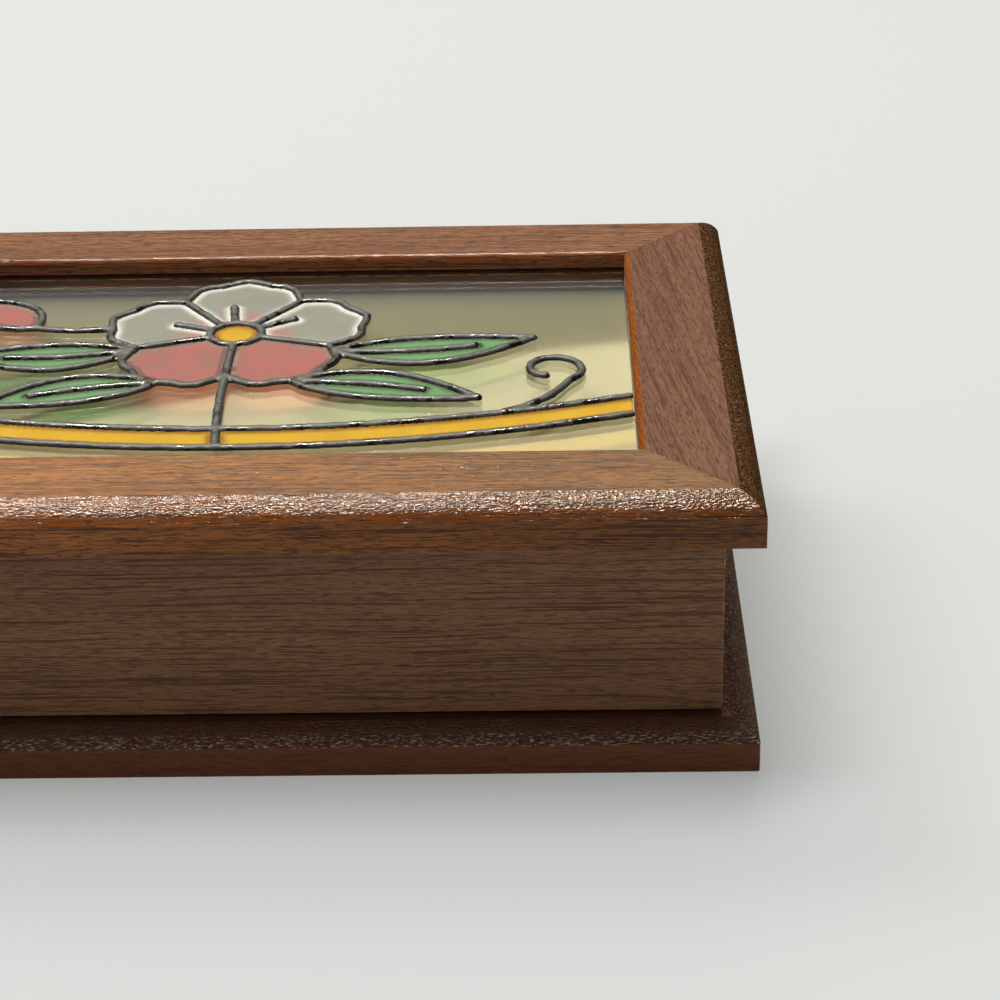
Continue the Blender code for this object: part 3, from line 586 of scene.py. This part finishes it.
leading = take_copy("leading", whole_faces=False)
remesh(leading, 0.33 * mm)
soften(leading, 5)
foot_height, foot_gap = 0.25 * mm, 0.03 * mm
lumps = {420: 0.13, 1100: 0.06}
for corner, way in points_of(leading):
    height = corner.co.z - glass_top
    lump = sum(noise.noise(corner.co * turns) * size for turns, size in lumps.items())
    push = way * lump * mm
    if height > foot_height:
        corner.co += push
    corner.co.z = max(corner.co.z, glass_top + foot_gap)
bpy.ops.object.shade_smooth()
finish, tree, shader, place = new_material("lead_paste", IOR=1.5)
cloud = ramp_of(tree, noise_of(tree, place, 260, 3.0), 0.3, 0.7)
colour = blend_of(tree, cloud, (0.026, 0.027, 0.028), (0.060, 0.062, 0.062))
glossy = ramp_of(tree, noise_of(tree, place, 260, 3.0, 0.6), 0.50, 0.62)
colour = blend_of(tree, glossy, colour, (0.007, 0.007, 0.008))
tree.links.new(colour, shader.inputs["Base Color"])
dull_paste, gloss_takes = 0.58, 0.46
rough = math_of(tree, "SUBTRACT", dull_paste, product_of(tree, glossy, gloss_takes))
tree.links.new(rough, shader.inputs["Roughness"])
raise_skin(tree, shader, noise_of(tree, place, 1500, 3.0), 1.0, 0.09 * mm)
dress(leading, finish, "lid", "leading")

# Enamel: pools of translucent glass paint run in between the beads. Each is thin in its
# middle and climbs up the beads round it, where it is thicker and deeper in colour. On the
# white petals that rim is near white, partly a painted highlight.
blossom_middle = (-4.43 * mm, 12.85 * mm, 0.0)
bead_points = kdtree.KDTree(len(leading.data.vertices))
for index, corner in enumerate(leading.data.vertices):
    bead_points.insert((corner.co.x, corner.co.y, 0.0), index)
bead_points.balance()
paint_rise, paint_reach = 0.30 * mm, 0.42 * mm
paint_foot, paint_level = glass_top + 0.02 * mm, glass_top + 0.38 * mm
paint_spread, rim_reach = 0.22 * mm, 1.3 * mm


def enamel_pool(name):
    """A pool with its surface drawn up to the beads, and the rim's strength on each point."""
    pool = take_copy(name, whole_faces=False)
    remesh(pool, 0.2 * mm)
    middle = sum((corner.co.z for corner in pool.data.vertices)) / len(pool.data.vertices)
    rim = pool.data.attributes.new("rim", "FLOAT", "POINT")
    for index, (corner, way) in enumerate(points_of(pool)):
        spot = Vector((corner.co.x, corner.co.y, 0.0))
        away = bead_points.find(spot)[2]
        rim.data[index].value = math.exp(-away / rim_reach)
        flat = Vector((way.x, way.y, 0.0))
        corner.co += flat * paint_spread
        if corner.co.z > middle:
            sag = noise.noise(spot * 190) * 0.03 * mm
            corner.co.z = paint_level + sag + paint_rise * math.exp(-away / paint_reach)
        else:
            corner.co.z = paint_foot
    soften(pool, 2)
    bpy.ops.object.shade_smooth()
    return pool


def enamel(name, thin, thick_and_highlit, heart, heart_reach, through, gloss=0.4, clouded=0.2):
    """Glass paint: thin colour, a thicker colour at the rim, which on white is also a painted
    highlight, and another colour near the throat.
    """
    dull, bright, heart_stray = 0.34, 0.06, 6 * mm
    made, tree, shader, place = new_material(
        name, IOR=1.48, Transmission_Weight=0.2, Specular_IOR_Level=gloss
    )
    rim = put(tree, "Attribute", attribute_name="rim").outputs["Fac"]
    rim = ramp_of(tree, rim, 0.20, 0.78)
    cloud = ramp_of(tree, noise_of(tree, place, 140), 0.3, 0.75)
    colour = blend_of(tree, product_of(tree, cloud, clouded), thin, thick_and_highlit)
    centre = vector_of(tree, "SUBTRACT", place, blossom_middle)
    centre = vector_of(tree, "MULTIPLY", centre, (1, 1, 0))
    away = vector_of(tree, "LENGTH", centre, output="Value")
    stray = product_of(tree, noise_of(tree, place, 200), heart_stray)
    near = fall_of(tree, math_of(tree, "ADD", away, stray), heart_reach * 0.45, heart_reach)
    colour = blend_of(tree, near, colour, heart)
    colour = blend_of(tree, rim, colour, thick_and_highlit)
    tree.links.new(colour, shader.inputs["Base Color"])
    tree.links.new(map_of(tree, rim, 0.1, 0.7, dull, bright), shader.inputs["Roughness"])
    raise_skin(tree, shader, noise_of(tree, place, 500), 0.35, 0.05 * mm)
    let_light_through(made, through)
    return made


# Painted highlight: the white paint's rim is near white, partly thicker paint and partly a
# painted meniscus highlight.
white_finish = enamel(
    "white_enamel", thin=(0.33, 0.34, 0.29), thick_and_highlit=(0.95, 0.97, 0.93), heart=(0.60, 0.21, 0.22),
    heart_reach=18 * mm, through=(0.86, 0.86, 0.82), clouded=0.08,
)
pink_finish = enamel(
    "pink_enamel", thin=(0.54, 0.115, 0.12), thick_and_highlit=(0.30, 0.165, 0.15), heart=(0.50, 0.17, 0.18),
    heart_reach=10 * mm, through=(0.90, 0.70, 0.67), clouded=0.55,
)
green_finish = enamel(
    "green_enamel", thin=(0.13, 0.45, 0.17), thick_and_highlit=(0.02, 0.10, 0.03), heart=(0.10, 0.24, 0.13),
    heart_reach=24 * mm, through=(0.66, 0.86, 0.62),
)
amber_finish = enamel(
    "amber_enamel", thin=(0.86, 0.55, 0.006), thick_and_highlit=(0.50, 0.22, 0.002),
    heart=(0.86, 0.55, 0.006), heart_reach=5 * mm, through=(0.95, 0.84, 0.55), gloss=0.1,
)
pools = (
    (white_finish, "white_enamel", ("petal_1", "petal_2")),
    (pink_finish, "pink_enamel", ("petal_3", "petal_4")),
    (white_finish, "white_enamel", ("petal_5",)),
    (pink_finish, "pink_enamel", ("bud",)),
    (amber_finish, "amber_enamel", ("throat", "ribbon_left", "ribbon_right")),
    (
        green_finish, "green_enamel",
        ("leaf_right_upper", "leaf_right_lower", "leaf_left_upper", "leaf_left_lower"),
    ),
)
for finish, slot, names in pools:
    for name in names:
        pool = enamel_pool(f"enamel_{name}")
        dress(pool, finish, "lid", f"enamel_{name}")

# Velvet linings: thin card wrapped in short-piled wine-red velvet, glued to the floor, the
# walls, the divider and the underside of the backing board. The pile is brushed unevenly.


def pile_cloth(name, colour, sheen_colour):
    """Short pile: a dark ground, a pale glow at grazing angles, and brushed patches."""
    brushed_up, pressed_down = 1.9, 0.3
    made, tree, shader, place = new_material(
        name, Roughness=0.9, Sheen_Weight=0.75, Sheen_Roughness=0.35, Specular_IOR_Level=0.0,
        Sheen_Tint=(*sheen_colour, 1),
    )
    brushed = ramp_of(tree, noise_of(tree, place, (55, 90, 70), 3.0, 0.6), 0.35, 0.65)
    nap = noise_of(tree, place, 3200)
    lifted = tuple(brushed_up * value for value in colour)
    pressed = tuple(pressed_down * value for value in colour)
    ground = blend_of(tree, brushed, colour, lifted)
    ground = blend_of(tree, product_of(tree, nap, 0.5), ground, pressed)
    tree.links.new(ground, shader.inputs["Base Color"])
    raise_skin(tree, shader, nap, 0.8, 0.12 * mm)
    return made


def keep_within(corner, low, high):
    """Holds a point inside its node's box."""
    for axis in range(3):
        corner.co[axis] = min(max(corner.co[axis], low[axis]), high[axis])


def wrap_cloth(node, cell, puff):
    """A wrapped lining: its edges turn over softly and its faces are a little padded."""
    fine_turns, fine_share, broad_turns, sunk = 130, 0.6, 45, 0.6
    cloth = take_copy(node, whole_faces=False)
    remesh(cloth, cell)
    soften(cloth, 3)
    low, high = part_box(node)
    for corner, way in points_of(cloth):
        ripple = noise.noise(corner.co * fine_turns) * fine_share
        ripple += noise.noise(corner.co * broad_turns)
        corner.co += way * (ripple - sunk) * puff
        keep_within(corner, low, high)
    bpy.ops.object.shade_smooth()
    return cloth


velvet = pile_cloth("wine_velvet", (0.12, 0.012, 0.022), (0.85, 0.35, 0.40))
for node, cell, puff in (
    ("floor_lining", 0.9 * mm, 0.10 * mm),
    ("lid_lining", 0.6 * mm, 0.06 * mm),
    ("divider", 0.6 * mm, 0.10 * mm),
    ("wall_lining_front", 0.6 * mm, 0.08 * mm),
    ("wall_lining_back", 0.6 * mm, 0.08 * mm),
    ("wall_lining_left", 0.6 * mm, 0.08 * mm),
    ("wall_lining_right", 0.6 * mm, 0.08 * mm),
):
    cloth = wrap_cloth(node, cell, puff)
    dress(cloth, velvet, "lid" if node == "lid_lining" else "base", node)

# Ring rolls: four stuffed tubes of the same velvet, drawn in and gathered at their ends and
# laid side by side, so that a ring is held in the slit between two of them.
gather_start, folds_round = 0.86, 11
fold_height, crease_height = 0.22, 0.16
turns_round, turns_along, roll_apart = 120, 70, 9
flat_foot = 0.6 * mm
for index in range(1, 5):
    node = f"ring_roll_{index}"
    roll = take_copy(node, whole_faces=False)
    remesh(roll, 0.55 * mm)
    low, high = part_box(node)
    middle = (low + high) / 2
    half = (high - low) / 2
    for corner, way in points_of(roll):
        along = abs(corner.co.y - middle.y) / half.y
        angle = math.atan2(corner.co.z - middle.z, corner.co.x - middle.x)
        gather = max(0.0, (along - gather_start) / (1 - gather_start))
        fold = math.sin(angle * folds_round + index) * fold_height * gather
        down_roll = corner.co.y * turns_along + index * roll_apart
        spot = Vector((corner.co.x * turns_round, down_roll, corner.co.z * turns_round))
        crease = noise.noise(spot) * crease_height
        if corner.co.z > low.z + flat_foot:
            corner.co += way * (fold + crease - crease_height) * mm
        keep_within(corner, low, high)
    soften(roll, 2)
    bpy.ops.object.shade_smooth()
    dress(roll, velvet, "base", node)

# Base felt: a thin sheet of brown felt glued under the bottom panel, so that the chest
# doesn't scratch the table.
felt_sheet = wrap_cloth("base_felt", 0.75 * mm, 0.05 * mm)
felt_finish = pile_cloth("brown_felt", (0.055, 0.045, 0.038), (0.4, 0.38, 0.34))
dress(felt_sheet, felt_finish, "base", "base_felt")

# Hinges: two small brass butt hinges, let into the case's back board and the lid's back
# rail, each with a brass pin and four countersunk slotted screws.
brass, tree, shader, place = new_material("brass", Metallic=1.0)
stain = ramp_of(tree, noise_of(tree, place, 180, 4.0, 0.6), 0.35, 0.75)
colour = blend_of(tree, stain, (0.78, 0.56, 0.25), (0.46, 0.30, 0.11))
tree.links.new(colour, shader.inputs["Base Color"])
scratch = noise_of(tree, place, (4200, 260, 4200))
polished, scratch_dulls, stain_dulls = 0.16, 0.16, 0.18
rough = math_of(tree, "ADD", product_of(tree, scratch, scratch_dulls), polished)
rough = math_of(tree, "ADD", product_of(tree, stain, stain_dulls), rough)
tree.links.new(rough, shader.inputs["Roughness"])
raise_skin(tree, shader, scratch, 0.25, 0.03 * mm)
for side in ("left", "right"):
    for body, rides_on in (("fixed", "base"), ("moving", "lid")):
        leaf_node = f"hinge_{side}_{body}_leaf"
        leaf = take_copy(leaf_node)
        round_arrises(leaf, 0.1 * mm, 0.6 * mm)
        dress(leaf, brass, rides_on, leaf_node)
        for number in (1, 2):
            screw_node = f"hinge_{side}_{body}_screw_{number}"
            screw = take_copy(screw_node)
            round_arrises(screw, 0.03 * mm, 0.5 * mm)
            dress(screw, brass, rides_on, screw_node)
    pin_node = f"hinge_{side}_pin"
    pin = take_copy(pin_node)
    round_arrises(pin, 0.1 * mm, 0.1 * mm)
    dress(pin, brass, "base", pin_node)

# Floor: a pale sheet that the chest stands on and that keeps its soft shadow. It is paler to
# the camera than to the varnish and the glass, which mirror it as a plain grey.


def differ_for_camera(tree, to_all, to_camera, end):
    """Shows one shader to the camera and another to all else."""
    path = put(tree, "LightPath")
    seen = path.outputs["Is Camera Ray"]
    both = put(tree, "MixShader", ((0, seen), (1, to_all.outputs[0]), (2, to_camera.outputs[0])))
    tree.links.new(both.outputs[0], end)


bpy.ops.object.select_all(action="DESELECT")
bpy.ops.mesh.primitive_plane_add(size=8.0, location=(0, 0, 0))
floor = bpy.context.object
floor.name = "floor"
finish, tree, shader, place = new_material(
    "pale_floor", Roughness=0.8, Specular_IOR_Level=0.0, Base_Color=(0.45, 0.45, 0.45, 1)
)
sheet = put(tree, "BsdfPrincipled", (
    ("Base Color", (0.585, 0.605, 0.62, 1)), ("Roughness", 0.8), ("Specular IOR Level", 0.0),
    ("Emission Color", (0.98, 1.0, 0.96, 1)), ("Emission Strength", 0.27),
))
differ_for_camera(tree, shader, sheet, tree.nodes["Material Output"].inputs["Surface"])
floor.data.materials.append(finish)

# Light: a sky that is pale to the camera. To all else it is dim behind the chest up to 24
# degrees and bright above, as a window over a sill, which the pane mirrors.
sill_rise, sill_slope = 24.12, 0.087
window_top, window_right, window_left = (45, 60), (8, 15), (-65, -40)
shelf_light, shelf_shade = (0.42, 0.42, 0.41), (0.07, 0.07, 0.07)
low_front = (0.45, 0.45, 0.46)
high_back, high_front = (0.30, 0.30, 0.31), (0.10, 0.10, 0.10)
window_light, window_bar, bar_over_sill = (2.1, 1.9, 1.2), (1.92, 1.74, 1.06), 1.25
world = bpy.data.worlds.new("studio")
bpy.context.scene.world = world
world.use_nodes = True
tree = world.node_tree
tree.nodes.clear()


def angle_ramp(tree, value, low, high):
    """A ramp between two angles in degrees."""
    return ramp_of(tree, value, math.radians(low), math.radians(high))


def angle_fall(tree, value, low, high):
    """A fall between two angles in degrees."""
    return fall_of(tree, value, math.radians(low), math.radians(high))


way = tree.nodes.new("ShaderNodeTexCoord").outputs["Generated"]
parts = put(tree, "SeparateXYZ", ((0, way),)).outputs
rise = math_of(tree, "ARCSINE", parts["Z"])
turn = math_of(tree, "ARCTAN2", parts["X"], parts["Y"])
sill = math_of(tree, "SUBTRACT", math.radians(sill_rise), product_of(tree, turn, sill_slope))
over_sill = math_of(tree, "SUBTRACT", rise, sill)
window = product_of(
    tree, angle_ramp(tree, over_sill, -0.1, 0.1), angle_fall(tree, rise, *window_top),
    angle_fall(tree, turn, *window_right), angle_ramp(tree, turn, *window_left),
)
high = angle_ramp(tree, rise, 12, 36)
ahead = ramp_of(tree, parts["Y"], 0.1, -0.5)
low_ahead = product_of(tree, ahead, angle_fall(tree, rise, 14, 30))
shelf = angle_ramp(tree, over_sill, -1.6, -0.1)
under = blend_of(tree, shelf, shelf_light, shelf_shade)
under = blend_of(tree, low_ahead, under, low_front)
over = blend_of(tree, ramp_of(tree, parts["Y"], 0.15, -0.35), high_back, high_front)
dim = blend_of(tree, high, under, over)
aside = map_of(tree, parts["X"], -0.6, 0.7, 1.15, 0.35)
dim = blend_of(tree, 1.0, dim, grey_of(tree, aside), "MULTIPLY")
bar = math_of(tree, "SUBTRACT", over_sill, math.radians(bar_over_sill))
bar = angle_ramp(tree, math_of(tree, "ABSOLUTE", bar), 0.02, 0.16)
light = blend_of(tree, window, dim, blend_of(tree, bar, window_bar, window_light))
sky = put(tree, "Background", (("Color", light), ("Strength", 1.0)))
pale_sky = put(tree, "Background", (("Color", (0.90, 0.91, 0.88, 1)), ("Strength", 1.0)))
differ_for_camera(tree, sky, pale_sky, put(tree, "OutputWorld").inputs[0])
world.cycles.sampling_method = "NONE"

# Lamps: a soft key, a long strip, and two rows of lights that only the gloss of the lifted
# varnish mirrors. Each has its rise from the front in degrees, its place aside, its width and
# depth in metres, and its watts.
aim = Vector((0, 0, 50 * mm))
lamp_distance = 2.1
lamps = (
    ("key", 125, -1.1, 0.6, 0.6, 7.0),
    ("strip", 100, -0.3, 1.5, 0.42, 22.0),
    ("glint_back", 103, -0.3, 1.5, 0.30, 128.0),
    ("glint_front", 74, -0.3, 1.5, 0.04, 4.0),
)
for name, rise, aside, wide, deep, watts in lamps:
    rise = math.radians(rise)
    way = Vector((aside / lamp_distance, -math.cos(rise), math.sin(rise))).normalized()
    bulb = bpy.data.lights.new(name, "AREA")
    bulb.shape = "RECTANGLE"
    bulb.size, bulb.size_y = wide, deep
    bulb.energy = watts
    bulb.color = (1.0, 0.94, 0.80) if "glint" in name else (1.0, 0.99, 0.975)
    lamp = bpy.data.objects.new(name, bulb)
    bpy.context.scene.collection.objects.link(lamp)
    lamp.visible_transmission = False
    lamp.visible_diffuse = "glint" not in name
    facing = way.to_track_quat("Z", "Y").to_matrix().to_4x4()
    lamp.matrix_world = Matrix.Translation(aim + way * lamp_distance) @ facing
